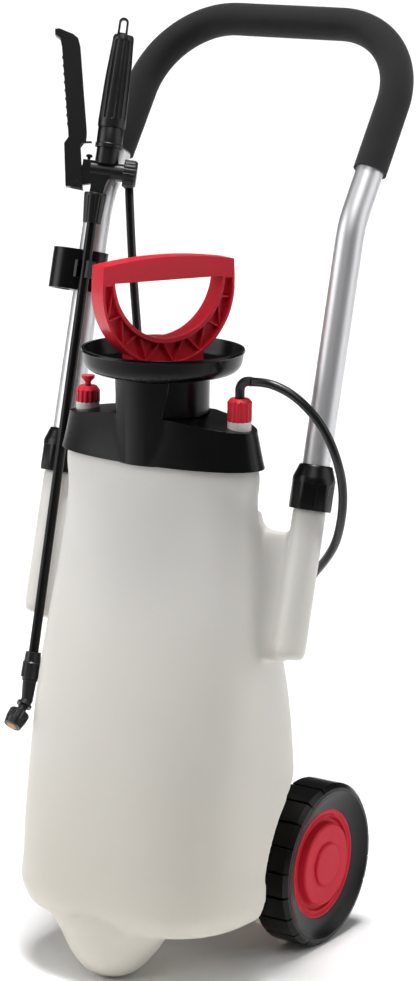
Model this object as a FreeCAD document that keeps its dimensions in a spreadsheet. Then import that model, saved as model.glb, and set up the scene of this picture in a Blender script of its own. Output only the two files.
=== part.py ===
import FreeCAD, Part
import math
import os
from types import SimpleNamespace

import Sketcher
from FreeCAD import Placement, Rotation, Vector

# Wheeled sprayer cart: a blow-moulded tank with a hand pump in its neck, a black
# shoulder cover with a relief valve and a hose outlet, two wheels behind, a bent
# aluminium handle with a foam grip, and a spray gun with its lance in a clip on
# the left leg. Millimetres, +Z up, the front with the foot faces -Y, the handle
# leans to +Y. Every piece is drawn about the pump axis and then moved by
# axis_x, axis_y, so that the origin is on the ground under the middle of the cart.

DRIVING = {
    # the whole cart
    "axis_x": 10.9, "axis_y": -56.3,
    # tank
    "tank_wall": 3, "tank_floor_z": 51, "tank_roof_z": 488,
    "tank_half_width": 118.6, "tank_half_depth": 108,
    "foot_x": -3, "foot_y": -66, "foot_flat_radius": 9, "pocket_radius": 111,
    "neck_radius": 37, "neck_bore": 32.5, "neck_top_z": 545.5,
    # shoulder cover
    "cover_low_z": 475, "cover_half_width": 106, "cover_half_depth": 43.5,
    "cover_end_z": 508.5, "cover_middle_z": 517, "cover_wall": 2.5,
    "shield_radius": 44.4, "shield_top_z": 549.5,
    # handle
    "tube_diameter": 25, "tube_wall": 1.5, "handle_half_width": 137.5,
    "leg_lean": 13.8, "leg_lean_high": 33.4, "leg_y": 33, "leg_z": 440,
    "leg_bend_z": 687, "leg_bend_radius": 90, "handle_top_z": 855.5, "handle_corner": 80,
    "foam_diameter": 30.6, "foam_end_z": 732,
    "socket_diameter": 30, "socket_floor_z": 307.5, "collar_diameter": 38.6, "collar_height": 38.5,
    # wheels
    "axle_diameter": 12, "axle_y": 113, "wheel_diameter": 156, "wheel_inner_x": 83,
    "wheel_width": 37, "rim_diameter": 104.5, "lug_height": 4.5, "lug_count": 20,
    # pump
    "cap_radius": 42.4, "cap_low_z": 516, "dish_low_z": 551.5, "dish_rim_z": 574.5, "dish_radius": 73.9,
    "cylinder_radius": 22, "cylinder_low_z": 286, "rod_diameter": 12, "piston_z": 300,
    "pull_width": 138, "pull_thickness": 20, "pull_low_z": 559.5, "pull_yaw": 66,
    # fittings on the shoulder
    "fitting_x": 82.5, "fitting_z": 512, "nut_diameter": 22, "hose_diameter": 8,
    # spray gun and lance
    "lance_offset_x": 13.2, "lance_offset_y": -27.8, "gun_z": 711.5, "gun_yaw": 33, "gun_tip": -0.6,
    "lance_diameter": 9.2, "lance_low_z": 260.2, "grip_offset": 6.3,
    "lever_pivot_x": -19, "lever_pivot_z": -7, "plunger_z": 8,
}

doc = FreeCAD.newDocument("sprayer_cart")
sheet = doc.addObject("Spreadsheet::Sheet", "Sizes")
for row, (alias, number) in enumerate(DRIVING.items(), start=1):
    sheet.set(f"A{row}", alias)
    sheet.set(f"B{row}", str(number))
    sheet.setAlias(f"B{row}", alias)
doc.recompute()


class Size:
    """A length that knows its number and the sheet expression that gives it."""

    def __init__(self, value, text=None):
        self.value = float(value)
        self.text = text or f"({value})"

    @staticmethod
    def of(thing):
        return thing if isinstance(thing, Size) else Size(thing)

    def __add__(self, other):
        other = Size.of(other)
        return Size(self.value + other.value, f"({self.text} + {other.text})")

    def __sub__(self, other):
        other = Size.of(other)
        return Size(self.value - other.value, f"({self.text} - {other.text})")

    def __mul__(self, other):
        other = Size.of(other)
        return Size(self.value * other.value, f"({self.text} * {other.text})")

    def __truediv__(self, other):
        other = Size.of(other)
        return Size(self.value / other.value, f"({self.text} / {other.text})")

    def __neg__(self):
        return Size(-self.value, f"(0 - {self.text})")

    __radd__ = __add__
    __rmul__ = __mul__

    def __rsub__(self, other):
        return Size.of(other) - self

    def __float__(self):
        return self.value


d = SimpleNamespace(**{alias: Size(number, f"Sizes.{alias}") for alias, number in DRIVING.items()})
tube_r = d.tube_diameter / 2
axle_r = d.axle_diameter / 2
hose_r = d.hose_diameter / 2
lance_r = d.lance_diameter / 2
wheel_r = d.wheel_diameter / 2
rim_r = d.rim_diameter / 2
nut_r = d.nut_diameter / 2
nodes = []


# Drawing helpers

def body_of(name):
    """A new sub-part whose label is the node's name."""
    body = doc.addObject("PartDesign::Body", name)
    nodes.append(body)
    return body


def origin_feature(body, role):
    return [item for item in body.Origin.OriginFeatures if item.Role == role][0]


def draw(body, name, role, outlines, lift=0):
    """A sketch on an origin plane of the body, every corner bound to the sheet. An outline is a list of
    (across, up) corners; a third number is the signed radius of the arc that ends at that corner,
    positive where the arc turns left. A circle is (across, up, "circle", radius)."""
    sketch = body.newObject("Sketcher::SketchObject", name)
    sketch.AttachmentSupport = [(origin_feature(body, role), "")]
    sketch.MapMode = "FlatFace"
    sketch.AttachmentOffset = Placement(Vector(0, 0, float(lift)), Rotation())
    if isinstance(lift, Size):
        sketch.setExpression(".AttachmentOffset.Base.z", lift.text)
    for outline in outlines:
        if len(outline) == 4 and outline[2] == "circle":
            draw_circle(sketch, outline[0], outline[1], outline[3])
        else:
            draw_outline(sketch, outline)
    return sketch


def bind(sketch, kind, where, size):
    size = Size.of(size)
    number = sketch.addConstraint(Sketcher.Constraint(kind, *where, size.value))
    sketch.setExpression(f"Constraints[{number}]", size.text)


def draw_circle(sketch, across, up, radius):
    circle = Part.Circle(Vector(float(across), float(up), 0), Vector(0, 0, 1), float(radius))
    index = sketch.addGeometry(circle)
    bind(sketch, "DistanceX", (-1, 1, index, 3), across)
    bind(sketch, "DistanceY", (-1, 1, index, 3), up)
    bind(sketch, "Radius", (index,), radius)


def bind_arc(sketch, index, start, corner):
    """Bind an arc by its radius, or a half circle by its centre between its ends."""
    radius = Size.of(corner[2])
    across = Size.of(corner[0]) - start[0]
    up = Size.of(corner[1]) - start[1]
    if math.hypot(across.value, up.value) < 2 * abs(radius.value) - 0.001:
        bind(sketch, "Radius", (index,), radius if radius.value > 0 else -radius)
    elif abs(across.value) > abs(up.value):
        bind(sketch, "DistanceY", (-1, 1, index, 3), (Size.of(corner[1]) + start[1]) / 2)
    else:
        bind(sketch, "DistanceX", (-1, 1, index, 3), (Size.of(corner[0]) + start[0]) / 2)


def draw_outline(sketch, outline):
    """Closed outline of straight and round stretches."""
    count = len(outline)
    first = sketch.GeometryCount
    ends = []
    for i, corner in enumerate(outline):
        a = Vector(float(outline[i - 1][0]), float(outline[i - 1][1]), 0)
        b = Vector(float(corner[0]), float(corner[1]), 0)
        if len(corner) == 2:
            sketch.addGeometry(Part.LineSegment(a, b))
            ends.append((1, 2))
            continue
        radius = abs(float(corner[2]))
        left = float(corner[2]) > 0
        half = (b - a) * 0.5
        side = Vector(-half.y, half.x, 0).normalize() * math.sqrt(max(0, radius ** 2 - half.Length ** 2))
        centre = a + half + (side if left else side * -1)
        start, stop = (a, b) if left else (b, a)
        angles = [math.atan2(p.y - centre.y, p.x - centre.x) for p in (start, stop)]
        sketch.addGeometry(Part.ArcOfCircle(Part.Circle(centre, Vector(0, 0, 1), radius), *angles))
        ends.append((1, 2) if left else (2, 1))
    for i, corner in enumerate(outline):
        after = (i + 1) % count
        place_of_corner = (first + i, ends[i][1])
        sketch.addConstraint(Sketcher.Constraint("Coincident", *place_of_corner, first + after, ends[after][0]))
        bind(sketch, "DistanceX", (-1, 1, *place_of_corner), corner[0])
        bind(sketch, "DistanceY", (-1, 1, *place_of_corner), corner[1])
        if len(corner) == 3:
            bind_arc(sketch, first + i, outline[i - 1], corner)


def revolve(body, sketch, groove=False):
    """Turn a sketch about the body's own upright axis."""
    kind = "PartDesign::Groove" if groove else "PartDesign::Revolution"
    feature = body.newObject(kind, f"{body.Name}_turned_{len(body.Group)}")
    feature.Profile = sketch
    feature.ReferenceAxis = (sketch, ["V_Axis"])
    feature.Angle = 360
    return feature


def extrude(body, sketch, length, cut=False, both=False, back=False):
    """Pad a sketch, or pocket it, by a length bound to the sheet."""
    kind = "PartDesign::Pocket" if cut else "PartDesign::Pad"
    feature = body.newObject(kind, f"{body.Name}_{'cut' if cut else 'pad'}_{len(body.Group)}")
    feature.Profile = sketch
    feature.Length = float(length)
    feature.setExpression("Length", Size.of(length).text)
    feature.Midplane = both
    feature.Reversed = back
    return feature


def repeat_round(body, feature, count, role="Z_Axis"):
    """Repeat a feature around one of the body's axes."""
    pattern = body.newObject("PartDesign::PolarPattern", f"{body.Name}_round_{len(body.Group)}")
    pattern.Originals = [feature]
    pattern.Axis = (origin_feature(body, role), [""])
    pattern.Angle = 360
    pattern.Occurrences = int(float(count))
    body.Tip = pattern
    return pattern


def turned(name, *outlines):
    """A sub-part turned about its own upright axis from (radius, height) outlines."""
    body = body_of(name)
    sketch = draw(body, f"{name}_outline", "XZ_Plane", outlines)
    revolve(body, sketch)
    return body


def flutes(body, centre_radius, flute_radius, low, high, count):
    """Round grooves down the outside of a turned sub-part."""
    sketch = draw(body, f"{body.Name}_flute", "XY_Plane", [(centre_radius, 0, "circle", flute_radius)], low)
    cut = extrude(body, sketch, Size.of(high) - low, cut=True, back=True)
    doc.recompute()
    return repeat_round(body, cut, count)


def leaning_flutes(body, foot, top, flute_radius, count):
    """Round grooves up a tapered outside, each from one (radius, height) to another."""
    profile = draw(body, f"{body.Name}_flute", "XY_Plane", [(foot[0], 0, "circle", flute_radius)], foot[1])
    path = body.newObject("Sketcher::SketchObject", f"{body.Name}_flute_path")
    path.AttachmentSupport = [(origin_feature(body, "XZ_Plane"), "")]
    path.MapMode = "FlatFace"
    path.addGeometry(Part.LineSegment(*[Vector(float(across), float(up), 0) for across, up in (foot, top)]))
    for corner, (across, up) in enumerate((foot, top), start=1):
        bind(path, "DistanceX", (-1, 1, 0, corner), across)
        bind(path, "DistanceY", (-1, 1, 0, corner), up)
    pipe = body.newObject("PartDesign::SubtractivePipe", f"{body.Name}_flute_cut")
    pipe.Profile = profile
    pipe.Spine = (path, ["Edge1"])
    doc.recompute()
    return repeat_round(body, pipe, count)


def shape_node(name, shape):
    """A sub-part whose shape is worked out here from the sheet's sizes."""
    feature = doc.addObject("Part::Feature", name)
    feature.Shape = shape
    nodes.append(feature)
    return feature


def stand(thing, x=0, y=0, z=0, *turns):
    """Put a sub-part at a place given from the pump axis on the ground."""
    turn = Rotation()
    for axis, angle in turns:
        turn = turn * Rotation(axis, angle)
    spot = [Size.of(x) + d.axis_x, Size.of(y) + d.axis_y, Size.of(z)]
    thing.Placement = Placement(Vector(*[float(part) for part in spot]), turn)
    for letter, part in zip("xyz", spot):
        thing.setExpression(f".Placement.Base.{letter}", part.text)
    return thing


UP = Vector(0, 0, 1)
RIGHT = Vector(1, 0, 0)
BACK = Vector(0, 1, 0)


def rounded_wire(points, radii):
    """Straight runs between points joined by tangent arcs; one radius for each inner point."""
    edges = []
    start = points[0]
    for before, corner, after, radius in zip(points, points[1:], points[2:], radii):
        into = (corner - before).normalize()
        out = (after - corner).normalize()
        turn = into.getAngle(out)
        setback = radius * math.tan(turn / 2)
        arc_start = corner - into * setback
        arc_end = corner + out * setback
        bisector = (out - into).normalize()
        centre_gap = radius / math.cos(turn / 2)
        middle = corner + bisector * (centre_gap - radius)
        edges.append(Part.LineSegment(start, arc_start).toShape())
        edges.append(Part.Arc(arc_start, middle, arc_end).toShape())
        start = arc_end
    edges.append(Part.LineSegment(start, points[-1]).toShape())
    return Part.Wire(edges)


def swept_rod(wire, radius):
    """A round bar along a wire."""
    first = wire.Edges[0]
    profile = Part.Wire(Part.makeCircle(float(radius), first.valueAt(first.FirstParameter),
                                        first.tangentAt(first.FirstParameter)))
    return wire.makePipeShell([profile], True, False)


def swept_tube(wire, outer, inner):
    return swept_rod(wire, outer).cut(swept_rod(wire, inner))


def coil(wire_radius, coil_radius, pitch, height):
    """An upright compression spring standing on its origin."""
    helix = Part.makeHelix(pitch, height, coil_radius)
    profile = Part.Wire(Part.makeCircle(wire_radius, Vector(coil_radius, 0, 0), BACK))
    return Part.Wire(helix.Edges).makePipeShell([profile], True, True)


def ring_section(half_width, half_depth, z, squareness, middle_y=0):
    """A level outline of the tank between an ellipse (2) and a box (large), as one closed curve."""
    count = 48
    points = []
    for i in range(count):
        angle = 2 * math.pi * i / count
        cos, sin = math.cos(angle), math.sin(angle)
        reach = (abs(cos) ** squareness + abs(sin) ** squareness) ** (-1 / squareness)
        points.append(Vector(half_width * reach * cos, middle_y + half_depth * reach * sin, z))
    curve = Part.BSplineCurve()
    curve.interpolate(Points=points, PeriodicFlag=True)
    return Part.Wire(curve.toShape())


# Frame of the handle: both legs lean back, more so above the bend

def lean_slope(angle):
    return math.tan(math.radians(float(angle)))


def leg_back(z):
    """How far behind the pump axis the straight lower leg is at a height."""
    return float(d.leg_y) + (z - float(d.leg_z)) * lean_slope(d.leg_lean)


def high_back(z):
    """The same for the upper leg, above its bend."""
    return leg_back(float(d.leg_bend_z)) + (z - float(d.leg_bend_z)) * lean_slope(d.leg_lean_high)


def along_leg(side, z):
    return Vector(side * float(d.handle_half_width), leg_back(z), z)


LEG_TURN = (RIGHT, -float(d.leg_lean))
SIDES = {"left": -1, "right": 1}


# Tank

def tank_sections(shrink, top_z, floor_z):
    """Outlines of the tank body from its floor to its roof, each one smaller by the shrink."""
    widest = float(d.tank_half_width)
    deepest = float(d.tank_half_depth)
    floor = float(d.tank_floor_z)
    levels = [
        (floor_z, widest - 19, deepest - 19, 2.6, 0),
        (floor + 5, widest - 9, deepest - 9, 2.7, 0),
        (floor + 16, widest - 2, deepest - 2, 2.8, 0.5),
        (104, widest, deepest, 2.8, 3),
        (180, widest - 0.4, deepest - 5, 2.7, 5),
        (265, widest - 2.3, deepest - 19, 2.5, 5),
        (330, widest - 8.4, deepest - 36, 2.35, 3.4),
        (390, widest - 15.8, deepest - 53, 2.25, 2.5),
        (440, widest - 20.8, deepest - 64, 2.2, 0.8),
        (top_z - 14, widest - 18.6, deepest - 69, 2.1, 0.4),
        (top_z, widest - 24.6, deepest - 74, 2.1, 0),
    ]
    return [ring_section(a - shrink, b - shrink, z, n, y) for z, a, b, n, y in levels]


def foot_sections(shrink):
    """Outlines of the lobe that the tank stands on, from the ground to where it ends inside the tank."""
    levels = [
        (shrink, d.foot_flat_radius, d.foot_flat_radius), (1.5 + shrink, 13.5, 13.5), (3 + shrink, 17.5, 17.5),
        (6 + shrink, 22.5, 22.5), (10 + shrink, 28, 28), (16 + shrink, 34, 33.5), (22 + shrink, 38.5, 37),
        (30, 45, 39), (38, 50.5, 40), (46, 57, 40.5), (53, 66, 41), (60, 70, 40.8), (68, 67, 39.5), (78, 60, 37)]
    return [ring_section(float(a) - shrink, float(b) - shrink, z, 2) for z, a, b in levels]


def wheel_pocket(side, margin):
    """The arch over a wheel, cut into the tank's rear corner."""
    inner = float(d.wheel_inner_x) - 3 - margin
    return Part.makeCylinder(float(d.pocket_radius) + margin, 90,
                             Vector(side * inner, float(d.axle_y), float(wheel_r)), Vector(side, 0, 0))


def axle_housing(radius, half_length, top_margin):
    """The moulded bar behind the tank that the axle runs through."""
    y = float(d.axle_y)
    z = float(wheel_r)
    round_end = Part.makeCylinder(radius, 2 * half_length, Vector(-half_length, y, z), RIGHT)
    block = Part.makeBox(2 * half_length, y - 50, 2 * radius + top_margin, Vector(-half_length, 50, z - radius))
    return round_end.fuse(block)


def tank_socket(side):
    """The slanted tube beside the tank that holds one leg, with the web that joins it to the tank."""
    length = (float(d.leg_z) - float(d.socket_floor_z)) / math.cos(math.radians(float(d.leg_lean)))
    tube = Part.makeCylinder(float(d.socket_diameter) / 2, length)
    tube = tube.makeFillet(6, [edge for edge in tube.Edges if edge.Closed and edge.CenterOfMass.z < 1])
    web_top = length - 31
    web = Part.makeBox(52, 18, web_top + 4, Vector(10, -9, -4))
    corner = Part.makeBox(26, 18, 15, Vector(36, -9, web_top))
    web = web.fuse(corner.cut(Part.makeCylinder(15, 18, Vector(36, -9, web_top + 15), BACK)))
    if side > 0:
        web = web.mirror(Vector(0, 0, 0), RIGHT)
    shape = tube.fuse(web)
    shape.Placement = Placement(along_leg(side, float(d.socket_floor_z)), Rotation(*LEG_TURN))
    return shape


def tank_shell():
    wall = float(d.tank_wall)
    floor = float(d.tank_floor_z)
    roof = float(d.tank_roof_z)
    outside = Part.makeLoft(tank_sections(0, roof, floor), True, False)
    inside = Part.makeLoft(tank_sections(wall, roof - wall, floor + wall), True, False)
    foot = Part.makeLoft(foot_sections(0), True, False)
    foot_room = Part.makeLoft(foot_sections(wall), True, False)
    for lobe in (foot, foot_room):
        lobe.translate(Vector(float(d.foot_x), float(d.foot_y), 0))
    neck = Part.makeCylinder(float(d.neck_radius), float(d.neck_top_z) - roof + 10, Vector(0, 0, roof - 10))
    shape = outside.fuse([foot, neck, axle_housing(18, 79.8, 0)])
    shape = shape.fuse([tank_socket(side) for side in SIDES.values()])
    hollow = inside.fuse(foot_room)
    for side in SIDES.values():
        shape = shape.cut(wheel_pocket(side, 0))
        hollow = hollow.cut(wheel_pocket(side, wall))
    hollow = hollow.fuse(axle_housing(18 - wall, 79.8 - wall, 0))
    tunnel = Part.makeCylinder(float(axle_r) + wall, 200, Vector(-100, float(d.axle_y), float(wheel_r)), RIGHT)
    hollow = hollow.cut(tunnel)
    shape = shape.cut(hollow)
    shape = shape.cut(Part.makeCylinder(float(d.neck_bore), 90, Vector(0, 0, roof - 20)))
    shape = shape.cut(Part.makeCylinder(float(axle_r) + 0.1, 200, Vector(-100, float(d.axle_y), float(wheel_r)), RIGHT))
    for side in SIDES.values():
        bore = Part.makeCylinder(float(tube_r) + 0.1, 200, Vector(0, 0, 5), UP)
        bore.Placement = Placement(along_leg(side, float(d.socket_floor_z)), Rotation(*LEG_TURN))
        shape = shape.cut(bore)
        shape = shape.cut(Part.makeCylinder(7.6, 40, Vector(side * float(d.fitting_x), 0, roof - 30)))
    return shape


stand(shape_node("tank_shell", tank_shell()))


# Shoulder cover, with the shield in front of the pump cap

def cover_block(shrink):
    """The cover's outside, or with a shrink the room inside it."""
    low = float(d.cover_low_z)
    a = float(d.cover_half_width) - shrink
    b = float(d.cover_half_depth) - shrink
    bottom = low if shrink == 0 else low - 5
    body = Part.makeLoft([ring_section(a, b, bottom, 2.1), ring_section(a - 5, b - 3, low + 20, 2.1),
                          ring_section(a - 11, b - 6, low + 50, 2.1)], True, False)
    end_z = float(d.cover_end_z) - shrink
    middle_z = float(d.cover_middle_z) - shrink
    roof = Part.makePolygon([Vector(-140, -80, bottom), Vector(140, -80, bottom), Vector(140, -80, end_z - 6),
                             Vector(96, -80, end_z), Vector(34, -80, middle_z), Vector(-34, -80, middle_z),
                             Vector(-96, -80, end_z), Vector(-140, -80, end_z - 6), Vector(-140, -80, bottom)])
    return body.common(Part.Face(roof).extrude(Vector(0, 160, 0)))


def cover_shield():
    """Part of a cylinder in front of the cap, wider at its top, seen from the front as a keystone."""
    low = float(d.cover_low_z) - 1
    top = float(d.shield_top_z)
    keystone = Part.makePolygon([Vector(-20, -60, low), Vector(20, -60, low), Vector(29, -60, top),
                                 Vector(-29, -60, top), Vector(-20, -60, low)])
    keystone = Part.Face(keystone).extrude(Vector(0, 40, 0))
    round_part = Part.makeCylinder(float(d.shield_radius), top - low, Vector(0, 0, low))
    return round_part.common(keystone)


def shoulder_cover():
    shape = cover_block(0).fuse(cover_shield()).cut(cover_block(float(d.cover_wall)))
    shape = shape.cut(Part.makeCylinder(float(d.neck_radius) + 1, 90, Vector(0, 0, float(d.cover_low_z))))
    shape = shape.cut(Part.makeCylinder(float(d.cap_radius) + 0.4, 60, Vector(0, 0, float(d.cap_low_z) - 0.5)))
    for side in SIDES.values():
        shape = shape.cut(Part.makeCylinder(10.8, 60, Vector(side * float(d.fitting_x), 0, float(d.cover_low_z))))
    return shape


stand(shape_node("shoulder_cover", shoulder_cover()))


# Handle tube, foam grip and the collars that hold the tube in the tank's sockets

def handle_wire(low_z, with_bend):
    w = float(d.handle_half_width)
    top = float(d.handle_top_z)
    bend = float(d.leg_bend_z)
    half = []
    radii = []
    if with_bend:
        half += [Vector(w, leg_back(low_z), low_z), Vector(w, leg_back(bend), bend)]
        radii.append(float(d.leg_bend_radius))
    else:
        half.append(Vector(w, high_back(low_z), low_z))
    half.append(Vector(w, high_back(top), top))
    radii.append(float(d.handle_corner))
    mirrored = [Vector(-point.x, point.y, point.z) for point in reversed(half)]
    return rounded_wire(half + mirrored, radii + radii[::-1])


handle_low_z = float(d.socket_floor_z) + 8
stand(shape_node("handle_tube", swept_tube(handle_wire(handle_low_z, True), tube_r, tube_r - d.tube_wall)))
stand(shape_node("foam_grip", swept_tube(handle_wire(float(d.foam_end_z), False), d.foam_diameter / 2, tube_r + 0.05)))

collar_r = d.collar_diameter / 2
for side_name, side in SIDES.items():
    collar = turned(f"{side_name}_collar", [
        (tube_r + 0.1, d.collar_height), (tube_r + 0.1, 6), (d.socket_diameter / 2 + 0.1, 6),
        (d.socket_diameter / 2 + 0.1, -2), (collar_r - 0.6, -2), (collar_r, 0), (collar_r, 26),
        (collar_r - 4.2, d.collar_height - 1), (collar_r - 5.2, d.collar_height)])
    flat = draw(collar, f"{side_name}_facet", "XY_Plane", [
        [(collar_r - 0.7, -4.4), (collar_r + 3, -4.4), (collar_r + 3, 4.4), (collar_r - 0.7, 4.4)]], -2)
    facet = extrude(collar, flat, 24, cut=True, back=True)
    doc.recompute()
    repeat_round(collar, facet, 10)
    foot_point = along_leg(side, float(d.leg_z))
    stand(collar, side * d.handle_half_width, foot_point.y, foot_point.z, LEG_TURN)


# Lance clip on the left leg

clip_z = 622
clip_height = 38
clip = body_of("lance_clip")
lobe = 19
clip_outline = draw(clip, "clip_outline", "XY_Plane", [
    [(0, -15.6), (0, 15.6, 15.6), (-lobe, 17), (-lobe, -17, 17)],
    (0, 0, "circle", tube_r + 0.05)], -clip_height / 2)
extrude(clip, clip_outline, clip_height)
hollow = draw(clip, "clip_hollow", "XY_Plane", [[(-16.5, -11), (-16.5, 11), (-lobe - 3, 12.5), (-lobe - 3, -12.5, 13.5)]],
              -clip_height / 2)
extrude(clip, hollow, clip_height - 4, cut=True, back=True)
jaw_spot = Vector(-2.7, -29.8, 0)
jaw_r = float(lance_r) + 0.3
mouth_way = Rotation(UP, -float(d.gun_yaw)).multVec(Vector(0, -1, 0))
mouth_side = mouth_way.cross(UP) * -1


def in_jaw(side, out):
    """A point of the jaw, given across its mouth and out of it. The mouth opens to the front of the cart."""
    point = jaw_spot + mouth_side * side + mouth_way * out
    return point.x, point.y


jaw_outline = draw(clip, "clip_jaw", "XY_Plane", [
    [(jaw_spot.x - 8, -12), in_jaw(-8, 7), in_jaw(-jaw_r, 7), in_jaw(-jaw_r, 0), in_jaw(jaw_r, 0) + (-jaw_r,),
     in_jaw(jaw_r, 7), in_jaw(8, 7), in_jaw(8, -3), (jaw_spot.x + 8, -13)]], -8)
extrude(clip, jaw_outline, 16)
clip_spot = along_leg(-1, clip_z)
stand(clip, -d.handle_half_width, clip_spot.y, clip_spot.z, LEG_TURN, (UP, float(d.gun_yaw)))


# Axle with its washers and push-on retainers, and the wheels

axle_half = d.wheel_inner_x + 27.5
axle = turned("axle", [(0, -axle_half), (axle_r - 1, -axle_half), (axle_r, 1 - axle_half), (axle_r, axle_half - 1),
                       (axle_r - 1, axle_half), (0, axle_half)])
stand(axle, 0, d.axle_y, wheel_r, (BACK, 90))


def pair_of_discs(name, radius, inner_radius, start, thickness):
    """The same disc on both ends of the axle, as two solids in one node."""
    discs = []
    for side in SIDES.values():
        disc = Part.makeCylinder(float(radius), thickness, Vector(side * start, 0, 0), Vector(side, 0, 0))
        hole = Part.makeCylinder(float(inner_radius), thickness, Vector(side * start, 0, 0), Vector(side, 0, 0))
        discs.append(disc.cut(hole))
    stand(shape_node(name, Part.makeCompound(discs)), 0, d.axle_y, wheel_r)


pair_of_discs("axle_washers", 13, axle_r + 0.1, float(d.wheel_inner_x) - 2.8, 2)
pair_of_discs("axle_retainers", 9.5, axle_r + 0.02, float(d.wheel_inner_x) + 25.2, 1.6)

half_width = d.wheel_width / 2


def tyre(name):
    """A ring whose wall rises in a hollow curve from the rim to a bevelled shoulder, with lugs across the tread."""
    ground = wheel_r - d.lug_height
    body = turned(name, [
        (rim_r, -half_width + 3), (rim_r, half_width - 7.8), (rim_r + 1.5, half_width - 7.3),
        (rim_r + 18.5, half_width - 0.4, 42), (rim_r + 20, half_width - 0.7), (ground, half_width - 3),
        (ground, 3 - half_width), (ground - 3, -half_width), (rim_r + 12, -half_width),
        (rim_r + 3, -half_width + 3)])
    wide = 11
    outer = math.sqrt(float(wheel_r) ** 2 - wide ** 2)
    lug_sketch = draw(body, f"{name}_lug", "XY_Plane", [
        [(ground - 2, -wide), (outer, -wide), (outer, wide, wheel_r), (ground - 2, wide)]], 0.8 - half_width)
    lug = extrude(body, lug_sketch, d.wheel_width - 1.6)
    doc.recompute()
    repeat_round(body, lug, d.lug_count)
    bevel = draw(body, f"{name}_bevel", "XZ_Plane", [
        [(rim_r + 20, half_width + 0.5), (wheel_r + 3, half_width - 7), (wheel_r + 3, half_width + 0.5)]])
    revolve(body, bevel, groove=True)
    return body


def rim(name):
    """Plastic wheel centre: a lip, a sunk ring and a raised disc, with a bore for the axle."""
    lip = half_width - 7.8
    disc = half_width - 3.6
    return turned(name, [
        (axle_r + 0.06, -half_width), (axle_r + 0.06, 6.5), (14, 6.5), (14, half_width - 5.2), (20.6, half_width - 5.2),
        (20.6, disc - 0.6), (24, disc), (37.5, disc), (39.2, disc - 1.2), (40.2, lip - 3.4), (44.4, lip - 3.4),
        (45.4, lip - 0.6), (46.6, lip - 0.4), (47.4, lip - 1.2), (rim_r - 2.8, lip - 0.7), (rim_r - 2, lip),
        (rim_r - 0.1, lip), (rim_r - 0.1, 3 - half_width), (rim_r - 5, 3 - half_width), (rim_r - 7, 0), (24, 0),
        (15, -1.5), (13, -half_width)])


for side_name, side in SIDES.items():
    centre_x = side * (d.wheel_inner_x + half_width)
    outward = (BACK, 90 * side)
    stand(tyre(f"{side_name}_tyre"), centre_x, d.axle_y, wheel_r, outward)
    stand(rim(f"{side_name}_rim"), centre_x, d.axle_y, wheel_r, outward)
    hub_cap = turned(f"{side_name}_hub_cap", [
        (0, half_width - 1.4), (18.6, half_width - 1.7), (20.4, half_width - 3, -1.9), (20.4, half_width - 5.1),
        (13.8, half_width - 5.1), (13.8, half_width - 6), (12, half_width - 6), (12, half_width - 4.6),
        (0, half_width - 4.6)])
    stand(hub_cap, centre_x, d.axle_y, wheel_r, outward)


# Pump: cap with its filling dish, cylinder, valve, guide and gasket

stand(turned("neck_gasket", [(d.neck_bore + 0.2, d.neck_top_z), (d.neck_radius - 0.2, d.neck_top_z),
                             (d.neck_radius - 0.2, d.neck_top_z + 1.5), (d.neck_bore + 0.2, d.neck_top_z + 1.5)]))
floor_z = d.dish_low_z + 4
cap = turned("pump_cap", [
    (9, d.dish_low_z - 2), (d.neck_radius + 1, d.dish_low_z - 2), (d.neck_radius + 1, d.cap_low_z),
    (d.cap_radius - 1, d.cap_low_z), (d.cap_radius, d.cap_low_z + 1), (d.cap_radius, d.dish_low_z - 1.5),
    (d.cap_radius + 1.5, d.dish_low_z, -1.5), (d.dish_radius - 14, d.dish_low_z + 1.6),
    (d.dish_radius - 2.6, d.dish_low_z + 11.5, 12.5), (d.dish_radius - 1.2, d.dish_rim_z - 3),
    (d.dish_radius, d.dish_rim_z - 2), (d.dish_radius - 0.6, d.dish_rim_z), (d.dish_radius - 3, d.dish_rim_z),
    (d.dish_radius - 5.4, d.dish_low_z + 12), (d.dish_radius - 15, floor_z + 0.6, -9.5), (14, floor_z), (9, floor_z)])
stand(cap)
flange_z = d.neck_top_z + 1.6
cyl_r = d.cylinder_radius
stand(turned("pump_cylinder", [
    (cyl_r, d.cylinder_low_z + 2), (cyl_r, flange_z - 4), (d.neck_bore - 0.4, flange_z - 4), (d.neck_bore - 0.4, flange_z),
    (d.neck_radius, flange_z), (d.neck_radius, flange_z + 2.2), (cyl_r - 2, flange_z + 2.2),
    (cyl_r - 2, d.cylinder_low_z + 3), (2.6, d.cylinder_low_z + 3), (2.6, d.cylinder_low_z),
    (cyl_r - 2, d.cylinder_low_z)]))
stand(turned("cylinder_valve", [
    (0, d.cylinder_low_z - 2), (13, d.cylinder_low_z - 1.2), (13, d.cylinder_low_z), (2.5, d.cylinder_low_z),
    (2.5, d.cylinder_low_z + 4), (0, d.cylinder_low_z + 5)]))
rod_r = d.rod_diameter / 2
stand(turned("rod_guide", [
    (rod_r + 0.06, d.dish_low_z - 8), (8.9, d.dish_low_z - 8), (8.9, floor_z), (13, floor_z), (13, floor_z + 1.6),
    (rod_r + 0.06, floor_z + 1.6)]))

# Pump: the rod with its piston and seal, and the pull handle

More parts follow.
